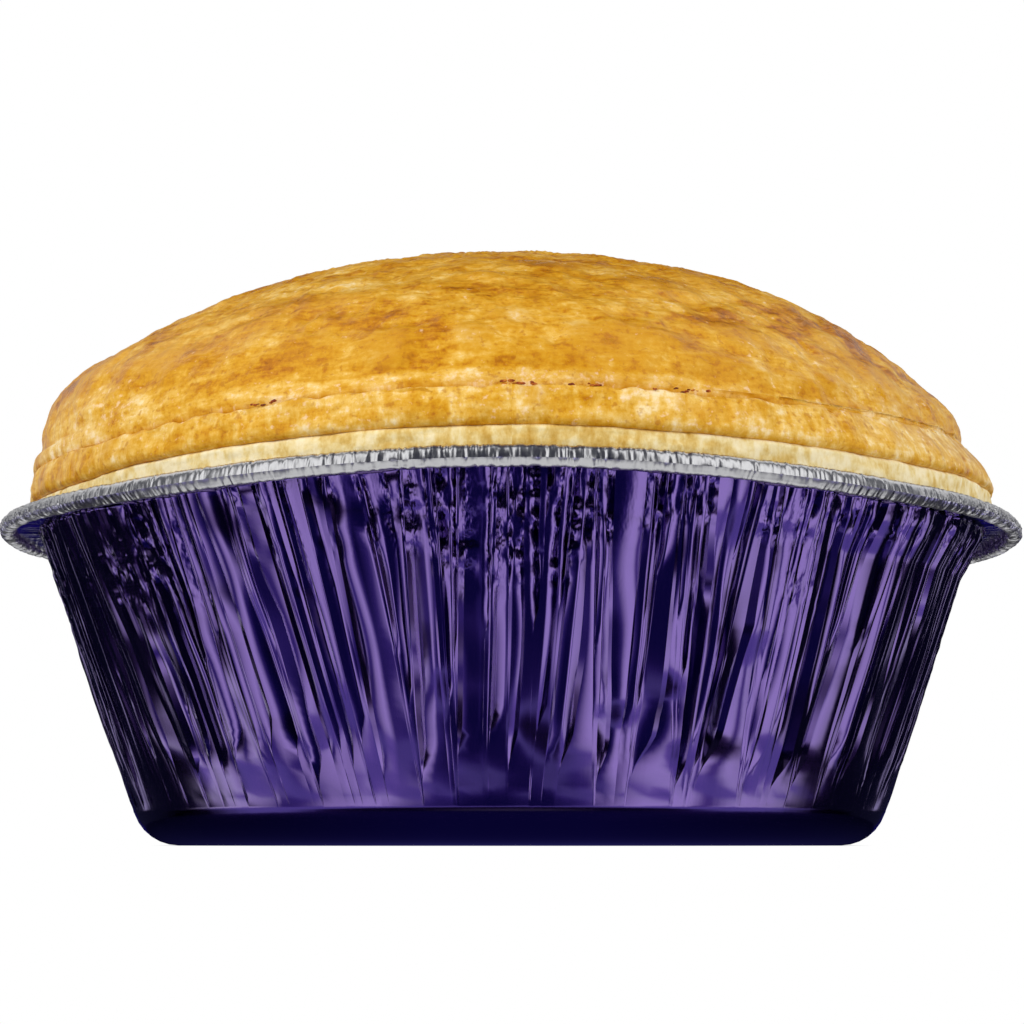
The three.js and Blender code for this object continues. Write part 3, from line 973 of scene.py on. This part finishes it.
def makeFlakes(material):
    # one small sheet, then a copy for each flake, bent and placed by its own random values
    rng = np.random.default_rng(flakes["seed"])
    select()
    bpy.ops.mesh.primitive_grid_add(x_subdivisions=7, y_subdivisions=3, size=1, location=(0, 0, 0))
    pattern = bpy.context.object
    flat = readPoints(pattern)
    along, up = flat[:, 0], flat[:, 1] + 0.5
    bpy.ops.object.modifier_add(type="SOLIDIFY")
    pattern.modifiers[0].thickness = flakes["thickness"]
    copies = []
    for n in range(flakes["count"]):
        flake = pattern.copy()
        flake.data = pattern.data.copy()
        bpy.context.collection.objects.link(flake)
        length, rise = rng.uniform(*flakes["length"]), rng.uniform(*flakes["rise"])
        turns = rng.uniform(0, 1) + along * length / (fullTurn * lid["lipRadius"])
        ragged = np.interp(along, np.linspace(-0.5, 0.5, 8), rng.uniform(*flakes["ragged"], 8))
        ragged = np.clip(ragged * (1 - 0.8 * (2 * along) ** 4), 0.1, 1)
        climb = up * (flakes["root"] + rise) * ragged - flakes["root"]
        lean = flakes["lean"] * rng.uniform(*flakes["leanSpread"])
        curl = flakes["curl"] * np.interp(along, np.linspace(-0.5, 0.5, 5), rng.uniform(-1, 1, 5)) * up
        radius, height = alongBand(turns, flakes["inset"], flakes["foot"])
        writePoints(flake, onEdge(turns, radius + np.maximum(climb, 0) * lean + curl, height + climb))
        copies.append(flake)
    for flake in copies:
        select(flake)
        bpy.ops.object.modifier_apply(modifier=flake.modifiers[0].name)
    piece = joined(*copies)
    piece.name = "liftedFlakes"
    bpy.data.objects.remove(pattern, do_unlink=True)
    faceOutwards(piece)
    paleness = 0.5 + 0.5 * roundNoise(flakes["seed"] + 1, 300, 1, roundOf(readPoints(piece))[0])
    writeColours(piece, "tone", 0 * paleness, 0 * paleness, paleness)
    wrapUv(piece, lid["lipRadius"])
    smoothByAngle(piece, flakes["crease"])
    finishPiece(piece, material, "pastry_lid")


# Gravy that cooked out through the crease.
gravy = {
    # where it seeps: degrees round from the front, from and to, and how many drops
    "seeps": ((-1, 9, 16), (14, 20, 11), (-27, -24, 7), (96, 104, 9), (170, 182, 12)),
    "inset": 0.46 * mm,            # in from the band's side, and up from its top edge
    "above": 0.1 * mm,
    "spread": (-0.16 * mm, 0.24 * mm),
    "width": (0.12 * mm, 0.38 * mm),
    "thickness": (0.14 * mm, 0.20 * mm),
    "flatness": (0.3, 0.5),        # height over width
    "lumpsOut": 0.06 * mm,
    "lumpsUp": 0.05 * mm,
    "seed": 223,
}


def makeGravy(material):
    rng = np.random.default_rng(gravy["seed"])
    drops = []
    for low, high, count in gravy["seeps"]:
        for n in range(count):
            turns = np.array([rng.uniform(low, high) / 360])
            radius, height = alongBand(turns, gravy["inset"], gravy["above"])
            place = onEdge(turns, radius, height + rng.uniform(*gravy["spread"]))[0]
            select()
            bpy.ops.mesh.primitive_ico_sphere_add(subdivisions=3, radius=1, location=place,
                                                  rotation=(0, 0, fullTurn * turns[0]))
            drop = bpy.context.object
            width, thickness = rng.uniform(*gravy["width"]), rng.uniform(*gravy["thickness"])
            drop.scale = (width, thickness, width * rng.uniform(*gravy["flatness"]))
            bpy.ops.object.transform_apply(location=True, rotation=True, scale=True)
            drops.append(drop)
    piece = joined(*drops)
    piece.name = "gravySeep"
    points = readPoints(piece)
    x, y, z = points.T
    y += gravy["lumpsOut"] * layeredNoise(gravy["seed"], 0.5 * mm, x, z, 2)
    z += gravy["lumpsUp"] * layeredNoise(gravy["seed"] + 5, 0.3 * mm, x, y, 2)
    writePoints(piece, points)
    wrapUv(piece, lid["lipRadius"])
    bpy.ops.object.shade_smooth()
    finishPiece(piece, material, "pastry_lid")


def hexColour(value):
    # an sRGB hex colour as the linear numbers that the shaders take
    channels = [int(value[n:n + 2], 16) / 255 for n in (0, 2, 4)]
    linear = [c / 12.92 if c <= 0.04045 else ((c + 0.055) / 1.055) ** 2.4 for c in channels]
    return (*linear, 1.0)


def addNode(tree, kind, settings=None, inputs=None):
    # a node with its settings, and its inputs set to a value or linked from a node or a socket
    node = tree.nodes.new("ShaderNode" + kind)
    for name, value in (settings or {}).items():
        setattr(node, name, value)
    for name, value in (inputs or {}).items():
        if isinstance(value, bpy.types.Node):
            value = value.outputs[0]
        if isinstance(value, bpy.types.NodeSocket):
            tree.links.new(value, node.inputs[name])
        else:
            node.inputs[name].default_value = value
    return node


def setRamp(node, stops, start=0, span=1):
    # the stops of a colour ramp, each a place and a hex colour or the name of a studio tint
    elements = node.color_ramp.elements
    while len(elements) > 1:
        elements.remove(elements[0])
    for n, (place, colour) in enumerate(stops):
        position = start + place / span
        element = elements.new(position) if n else elements[0]
        element.position = position
        element.color = tints[colour] if colour in tints else hexColour(colour)
    return node


def mixed(tree, share, low, high):
    # the colour that lies between two others at this share
    return addNode(tree, "Mix", {"data_type": "RGBA"}, {0: share, 6: low, 7: high}).outputs[2]


def wrapNoise(tree, width, height, detail, roughness, turn=0):
    # a noise with features this wide round the piece and this tall up it
    wrap = addNode(tree, "UVMap", {"uv_map": "wrap"})
    stretched = addNode(tree, "Mapping", inputs={
        "Vector": wrap, "Rotation": (0, 0, turn), "Scale": (1 / width, 1 / height, 1)})
    return addNode(tree, "TexNoise", inputs={
        "Vector": stretched, "Scale": 1.0, "Detail": detail, "Roughness": roughness})


def evenNoise(tree, size, detail, roughness=0.5):
    # a noise with features of this size, the same every way
    place = addNode(tree, "TexCoord")
    return addNode(tree, "TexNoise", inputs={
        "Vector": place.outputs["Object"], "Scale": 1 / size, "Detail": detail, "Roughness": roughness})


def newMaterial(name):
    material = bpy.data.materials.new(name)
    material.use_nodes = True
    tree = material.node_tree
    tree.nodes.clear()
    return material, tree


def finishMaterial(tree, surface):
    addNode(tree, "OutputMaterial", inputs={"Surface": surface})


def lacqueredFoil():
    # rolled aluminium foil under clear purple lacquer: deep violet metal with a pale hard gloss
    material, tree = newMaterial("lacquered aluminium foil")
    crush = addNode(tree, "Attribute", {"attribute_name": "crush"})
    crease = wrapNoise(tree, 1.6 * mm, 10 * mm, 2.0, 0.5)
    crumple = wrapNoise(tree, 0.5 * mm, 0.9 * mm, 1.0, 0.5)
    folded = addNode(tree, "Bump", inputs={"Strength": 0.05, "Distance": 0.10 * mm, "Height": crease})
    bump = addNode(tree, "Bump", inputs={
        "Strength": crush.outputs["Fac"], "Distance": 0.12 * mm, "Height": crumple, "Normal": folded})
    surface = addNode(tree, "BsdfPrincipled", inputs={
        "Base Color": hexColour("50367C"), "Metallic": 1.0, "Roughness": 0.16, "Normal": bump,
        "Coat Weight": 1.0, "Coat Roughness": 0.08, "Coat IOR": 1.5, "Coat Normal": bump})
    finishMaterial(tree, surface)
    return material


def bareFoil():
    # the same foil's bright side, crimped where it is rolled: sharp black and white glints
    material, tree = newMaterial("bare aluminium foil")
    crush = addNode(tree, "Attribute", {"attribute_name": "crush"})
    crease = wrapNoise(tree, 0.6 * mm, 1.6 * mm, 2.0, 0.6)
    crumple = wrapNoise(tree, 0.35 * mm, 0.35 * mm, 1.0, 0.5)
    creased = addNode(tree, "Bump", inputs={"Strength": 0.25, "Distance": 0.15 * mm, "Height": crease})
    bump = addNode(tree, "Bump", inputs={
        "Strength": crush.outputs["Fac"], "Distance": 0.26 * mm, "Height": crumple, "Normal": creased})
    dulled = addNode(tree, "MapRange", inputs={
        "Value": crush.outputs["Fac"], "To Min": 0.28, "To Max": 0.36})
    surface = addNode(tree, "BsdfPrincipled", inputs={
        "Base Color": hexColour("D4D4D6"), "Metallic": 1.0, "Roughness": dulled, "Normal": bump})
    finishMaterial(tree, surface)
    return material


def shortcrustPastry():
    # baked shortcrust: dry, pale and floury, a little darker where it browned, with upright marks
    material, tree = newMaterial("baked shortcrust pastry")
    baked = addNode(tree, "Attribute", {"attribute_name": "baked"})
    cloud = evenNoise(tree, 2.4 * mm, 4.0, 0.65)
    marks = wrapNoise(tree, 1.2 * mm, 2.6 * mm, 3.0, 0.6)
    both = addNode(tree, "Math", {"operation": "ADD"}, {0: cloud, 1: marks})
    half = addNode(tree, "Math", {"operation": "MULTIPLY"}, {0: both, 1: 0.5})
    paler = addNode(tree, "Math", {"operation": "MULTIPLY_ADD"}, {
        0: baked.outputs["Fac"], 1: -0.11, 2: half})
    shade = setRamp(addNode(tree, "ValToRGB", inputs={"Fac": paler}), (
        (0.28, "C89A3C"), (0.38, "DDBB6C"), (0.46, "EDD698"), (0.56, "F8E9C0")))
    crumb = evenNoise(tree, 0.5 * mm, 3.0)
    bump = addNode(tree, "Bump", inputs={"Strength": 0.5, "Distance": 0.15 * mm, "Height": crumb})
    surface = addNode(tree, "BsdfPrincipled", inputs={
        "Base Color": shade, "Roughness": 0.75, "IOR": 1.45, "Normal": bump})
    finishMaterial(tree, surface)
    return material


def puffPastry(name, streakWidth, streakHeight, streakWeight):
    # egg-glazed puff pastry: orange gold where the glaze pools on blisters, cream where layers part and
    # where highlights are painted
    material, tree = newMaterial(name)
    tone = addNode(tree, "Attribute", {"attribute_name": "tone"})
    tones = addNode(tree, "SeparateColor", inputs={"Color": tone.outputs["Color"]}).outputs
    glazed, darkened, creamAndHighlight = tones[0], tones[1], tones[2]
    cloud = evenNoise(tree, 6 * mm, 5.0, 0.62)
    mottle = evenNoise(tree, 2.2 * mm, 3.0, 0.55)
    grain = evenNoise(tree, 0.6 * mm, 3.0, 0.7)
    # what runs round the pie gives way to an even grain at the crown, which only the dome has
    crown = addNode(tree, "Attribute", {"attribute_name": "crown"})
    streak, stroke, speck = [
        addNode(tree, "Mix", {"data_type": "FLOAT"}, {0: crown.outputs["Fac"], 2: noise, 3: grain})
        for noise in (wrapNoise(tree, streakWidth, streakHeight, 3.0, 0.6),
                      wrapNoise(tree, 3.5 * mm, 0.8 * mm, 2.0, 0.6, math.radians(-38)),
                      wrapNoise(tree, 0.8 * mm, 0.7 * mm, 2.0, 0.6))]
    # each noise about its middle, times its weight
    total = 0.5
    for noise, weight in ((cloud, 0.85), (mottle, 0.36), (streak, streakWeight),
                          (stroke, 0.42), (grain, 0.4)):
        shifted = addNode(tree, "Math", {"operation": "SUBTRACT"}, {0: noise, 1: 0.5})
        total = addNode(tree, "Math", {"operation": "MULTIPLY_ADD"}, {0: shifted, 1: weight, 2: total})
    browner = addNode(tree, "Math", {"operation": "MULTIPLY_ADD"}, {0: darkened, 1: -0.2, 2: total})
    paler = addNode(tree, "Math", {"operation": "MULTIPLY_ADD"}, {0: creamAndHighlight, 1: 0.22, 2: browner})
    colour = setRamp(addNode(tree, "ValToRGB", inputs={"Fac": paler}), (
        (0.22, "94540A"), (0.34, "BA7404"), (0.45, "CE900E"),
        (0.57, "DAA22A"), (0.72, "E8BC5C"), (0.88, "F5DCA8")))
    # glaze that pooled, pale flecks that are flakes dried white and painted glints both, and spots that
    # caught the heat
    pooled = addNode(tree, "Math", {"operation": "MULTIPLY"}, {0: glazed, 1: 0.6})
    flecks = addNode(tree, "Math", {"operation": "MULTIPLY_ADD"}, {0: mottle, 1: 0.5, 2: speck})
    raised = addNode(tree, "Math", {"operation": "MULTIPLY_ADD"}, {0: creamAndHighlight, 1: 0.13, 2: flecks})
    dryFlecksAndGlints = addNode(tree, "MapRange", inputs={
        "Value": raised, "From Min": 0.94, "From Max": 1.08, "To Min": 0.0, "To Max": 0.5})
    scorched = addNode(tree, "MapRange", inputs={
        "Value": flecks, "From Min": 0.66, "From Max": 0.54, "To Min": 0.0, "To Max": 0.45})
    for share, tint in ((pooled, "CC9018"), (dryFlecksAndGlints, "F8DDC0"), (scorched, "A85C14")):
        colour = mixed(tree, share, colour, hexColour(tint))
    gloss = addNode(tree, "MapRange", inputs={
        "Value": cloud, "From Min": 0.3, "From Max": 0.7, "To Min": 0.24, "To Max": 0.5})
    ribbed = addNode(tree, "Bump", inputs={"Strength": 0.4, "Distance": 0.25 * mm, "Height": streak})
    fine = evenNoise(tree, 0.6 * mm, 3.0, 0.6)
    bump = addNode(tree, "Bump", inputs={
        "Strength": 0.3, "Distance": 0.18 * mm, "Height": fine, "Normal": ribbed})
    surface = addNode(tree, "BsdfPrincipled", inputs={
        "Base Color": colour, "Roughness": gloss, "IOR": 1.37, "Normal": bump})
    finishMaterial(tree, surface)
    return material


def cookedGravy():
    # gravy baked dry: dark red brown, tacky and glossy, redder in patches
    material, tree = newMaterial("cooked gravy")
    patches = evenNoise(tree, 0.8 * mm, 3.0, 0.6)
    shade = setRamp(addNode(tree, "ValToRGB", inputs={"Fac": patches}), (
        (0.35, "6A2408"), (0.48, "9A4412"), (0.62, "C87A28")))
    bump = addNode(tree, "Bump", inputs={"Strength": 0.3, "Distance": 0.08 * mm, "Height": patches})
    surface = addNode(tree, "BsdfPrincipled", inputs={
        "Base Color": shade, "Roughness": 0.3, "IOR": 1.45, "Normal": bump})
    finishMaterial(tree, surface)
    return material


# The stage: floor, studio, lights and camera.
stage = {
    "floorSize": 3.0,
    "floorColour": "F4F4F2",
    "paintedShadeRadius": 46.3 * mm,     # foil mirrors painted shade inside this: a dark navy ring that stands in for the floor's shadow under the tin
    "paintedShadeWidth": (8 * mm, 44 * mm),    # from and to, left or right of the middle, where the painted shade glows less
    "paintedShadeStrength": (1.7, 0.2),
    "shadow": (39.5 * mm, 42.5 * mm),     # beyond this the floor is as white as the room
    "lens": 76.6,
    "cameraPlace": (0.0, -260.44 * mm, 0.27 * mm),
    "cameraTilt": math.radians(90 + 8.642),
    "clipStart": 1 * mm,
    "aimHeight": 40 * mm,           # the lights point at this height over the middle
    # name: place, size and power
    "lights": {"keyLight": ((-0.55, -0.42, 0.48), 0.35, 2.6), "fillLight": ((0.50, -0.60, 0.35), 0.40, 1.9)},
}
# Linear colours of what shiny surfaces mirror.
tints = {
    "black": (0, 0, 0, 1),
    "white": (1, 1, 1, 1),
    "navy": (0.010, 0.009, 0.06, 1),
    "dusk": (0.22, 0.20, 0.42, 1),
    "night": (0.013, 0.014, 0.022, 1),
    "midnight": (0.0025, 0.0012, 0.045, 1),
    "soft": (0.68, 0.67, 0.70, 1),
    "pale": (0.25, 0.25, 0.25, 1),
    "haze": (0.20, 0.17, 0.30, 1),
    "shade": (0.003, 0.003, 0.010, 1),
    "bright": (0.44, 0.44, 0.44, 1),
    "gleam": (0.60, 0.60, 0.60, 1),
    "glare": (0.38, 0.38, 0.38, 1),
    "indigo": (0.07, 0.055, 0.20, 1),
}
sideStops = ((22, "night"), (36, "bright"), (46, "gleam"), (62, "gleam"), (70, "bright"), (84, "night"),
             (106, "night"), (118, "bright"))
studio = {
    "daylight": 0.67,
    "panelStrength": 2.1,
    "sheenSlope": 0.64,             # the panels end this far down in front, and higher at the sides
    "sheenEdge": (-0.005, 0.02),
    # by degrees round from the front
    "round": {
        "panels": (
            (-148, "black"), (-145, "haze"), (-142, "haze"), (-140, "black"), (-118, "black"),
            (-108, "soft"), (-95, "white"), (-84, "soft"), (-77, "indigo"), (-69, "indigo"), (-60, "soft"),
            (-46, "white"), (-30, "indigo"), (-15, "navy"), (13, "navy"), (23, "indigo"), (33, "soft"),
            (41, "white"), (56, "white"), (62, "indigo"), (65, "indigo"), (72, "white"), (90, "soft"),
            (101, "black"), (140, "black"), (142, "haze"), (145, "haze"), (148, "black")),
        "sheen": ((-112, "black"), (-95, "dusk"), (95, "dusk"), (112, "black")),
    },
    # by degrees to either side of the front
    "aside": {
        "sides": (*sideStops, (144, "bright"), (152, "night"), (162, "shade")),
        "glints": (*sideStops, (130, "pale")),
        "behind": ((140, "shade"), (143, "haze"), (145, "haze"), (148, "shade"), (160, "shade"),
                   (166, "midnight")),
        "forward": ((95, "white"), (108, "black")),
    },
    # by how far up, from -1 straight down to 1 straight up
    "height": {
        "plainGround": ((-1.0, "glare"), (-0.77, "glare"), (-0.71, "shade")),
        "ridgeGround": ((-1.0, "glare"), (-0.94, "glare"), (-0.86, "pale"), (-0.80, "shade")),
        "overGround": ((-0.17, "black"), (-0.13, "white")),
        "overLow": ((0.02, "black"), (0.06, "white"), (0.92, "white"), (0.97, "black")),
        "overSides": ((0.10, "black"), (0.13, "white"), (0.46, "white"), (0.52, "black")),
        "overPanels": ((-0.70, "black"), (-0.66, "white"), (-0.38, "white"), (-0.30, "black")),
    },
}


def makeFloor():
    # pale and plain; bright foil doesn't mirror it, except for a painted shade ring under the tin, a dark
    # navy glow that stands in for the floor's shadow
    select()
    bpy.ops.mesh.primitive_plane_add(size=stage["floorSize"], location=(0, 0, 0))
    floor = bpy.context.object
    floor.name = "floor"
    material, tree = newMaterial("matt white studio floor")
    place = addNode(tree, "TexCoord").outputs["Object"]
    path = addNode(tree, "LightPath")
    distance = addNode(tree, "VectorMath", {"operation": "LENGTH"}, {0: place}).outputs["Value"]
    beyond = addNode(tree, "MapRange", inputs={
        "Value": distance, "From Min": stage["shadow"][0], "From Max": stage["shadow"][1]})
    fading = addNode(tree, "Math", {"operation": "MULTIPLY"}, {0: beyond, 1: path.outputs["Is Camera Ray"]})
    lit = addNode(tree, "BsdfDiffuse", inputs={"Color": hexColour(stage["floorColour"])})
    glow = addNode(tree, "Emission", inputs={"Color": tints["white"], "Strength": 1.0})
    seen = addNode(tree, "MixShader", inputs={0: fading, 1: lit, 2: glow})
    # painted shade: inside this ring shiny surfaces see a dark navy glow in place of the floor's shadow
    near = addNode(tree, "Math", {"operation": "LESS_THAN"}, {0: distance, 1: stage["paintedShadeRadius"]})
    axes = addNode(tree, "SeparateXYZ", inputs={0: place})
    aside = addNode(tree, "Math", {"operation": "ABSOLUTE"}, {0: axes.outputs["X"]})
    shadeGlow = addNode(tree, "MapRange", inputs={
        "Value": aside, "From Min": stage["paintedShadeWidth"][0], "From Max": stage["paintedShadeWidth"][1],
        "To Min": stage["paintedShadeStrength"][0], "To Max": stage["paintedShadeStrength"][1]})
    clear = addNode(tree, "BsdfTransparent")
    paintedShade = addNode(tree, "Emission", inputs={"Color": tints["navy"], "Strength": shadeGlow})
    mirrored = addNode(tree, "MixShader", inputs={0: near, 1: clear, 2: paintedShade})
    both = addNode(tree, "MixShader", inputs={0: path.outputs["Is Glossy Ray"], 1: seen, 2: mirrored})
    finishMaterial(tree, both)
    material.cycles.emission_sampling = "NONE"
    floor.data.materials.append(material)


def makeStudio():
    # an even white room for matt surfaces, and tall soft panels that only shiny ones mirror
    world = bpy.data.worlds.new("studio")
    bpy.context.scene.world = world
    world.use_nodes = True
    world.cycles.sampling_method = "NONE"
    tree = world.node_tree
    tree.nodes.clear()
    place = addNode(tree, "TexCoord")
    axes = addNode(tree, "SeparateXYZ", inputs={0: place.outputs["Generated"]})
    back = addNode(tree, "Math", {"operation": "MULTIPLY"}, {0: axes.outputs["Y"], 1: -1.0})
    angle = addNode(tree, "Math", {"operation": "ARCTAN2"}, {0: axes.outputs["X"], 1: back})
    turn = addNode(tree, "MapRange", inputs={"Value": angle, "From Min": -math.pi, "From Max": math.pi})
    toSide = addNode(tree, "Math", {"operation": "ABSOLUTE"}, {0: angle})
    aside = addNode(tree, "Math", {"operation": "DIVIDE"}, {0: toSide, 1: math.pi})
    height = addNode(tree, "MapRange", inputs={
        "Value": axes.outputs["Z"], "From Min": -1.0, "From Max": 1.0})
    ramps = {}
    for name, share, start, span in (("round", turn, 0.5, 360), ("aside", aside, 0, 180),
                                     ("height", height, 0.5, 2)):
        for part, stops in studio[name].items():
            ramps[part] = setRamp(addNode(tree, "ValToRGB", inputs={"Fac": share}), stops, start, span)
    # panels for the wall, a dim sheen under them for its foot, pale ground and a dark room for the rim
    halfway = addNode(tree, "Math", {"operation": "MULTIPLY"}, {0: angle, 1: 0.5})
    facing = addNode(tree, "Math", {"operation": "COSINE"}, {0: halfway})
    aboveFoot = addNode(tree, "Math", {"operation": "MULTIPLY_ADD"}, {
        0: facing, 1: studio["sheenSlope"], 2: axes.outputs["Z"]})
    onPanels = addNode(tree, "MapRange", inputs={
        "Value": aboveFoot, "From Min": studio["sheenEdge"][0], "From Max": studio["sheenEdge"][1]})
    panels = mixed(tree, onPanels, ramps["sheen"], ramps["panels"])
    ground = mixed(tree, ramps["forward"], ramps["plainGround"], ramps["ridgeGround"])
    low = mixed(tree, ramps["overGround"], ground, ramps["behind"])
    sides = mixed(tree, ramps["overSides"], ramps["sides"], ramps["glints"])
    elsewhere = mixed(tree, ramps["overLow"], low, sides)
    mirror = mixed(tree, ramps["overPanels"], elsewhere, panels)
    mirrored = addNode(tree, "Background", inputs={"Color": mirror, "Strength": studio["panelStrength"]})
    room = addNode(tree, "Background", inputs={"Color": tints["white"], "Strength": studio["daylight"]})
    backdrop = addNode(tree, "Background", inputs={"Color": tints["white"], "Strength": 1.0})
    path = addNode(tree, "LightPath")
    lit = addNode(tree, "MixShader", inputs={0: path.outputs["Is Glossy Ray"], 1: room, 2: mirrored})
    seen = addNode(tree, "MixShader", inputs={0: path.outputs["Is Camera Ray"], 1: lit, 2: backdrop})
    addNode(tree, "OutputWorld", inputs={"Surface": seen})


def makeLight(name, place, size, power):
    bpy.ops.object.light_add(type="AREA", location=place)
    light = bpy.context.object
    light.name = name
    light.data.shape = "DISK"
    light.data.size = size
    light.data.energy = power
    light.visible_glossy = False      # shiny surfaces mirror the room's panels instead
    x, y, z = place
    aside, down = math.hypot(x, y), z - stage["aimHeight"]
    light.rotation_euler = (math.atan2(aside, down), 0, math.atan2(x, -y))


def makeCamera():
    bpy.ops.object.camera_add(location=stage["cameraPlace"], rotation=(stage["cameraTilt"], 0, 0))
    camera = bpy.context.object
    camera.data.lens = stage["lens"]
    camera.data.clip_start = stage["clipStart"]
    bpy.context.scene.camera = camera


makeCamera()
makeFloor()
makeStudio()
for name, (place, size, power) in stage["lights"].items():
    makeLight(name, place, size, power)
bpy.context.scene.view_settings.view_transform = "Standard"
print("stage set")
foilPurple = lacqueredFoil()
foilSilver = bareFoil()
pastryPale = shortcrustPastry()
pastryGold = puffPastry("glazed puff pastry", 2.2 * mm, 0.8 * mm, 0.35)
pastryEdge = puffPastry("cut edge of puff pastry", 1.1 * mm, 3 * mm, 0.65)
makeTin(foilPurple)
print("tin folded")
makeRim(foilSilver)
print("rim rolled")
makeCase(pastryPale)
print("case baked")
makeBand(pastryEdge)
makeDome(pastryGold)
print("lid baked")
makeFlakes(pastryEdge)
makeGravy(cookedGravy())
print("flakes and gravy added")
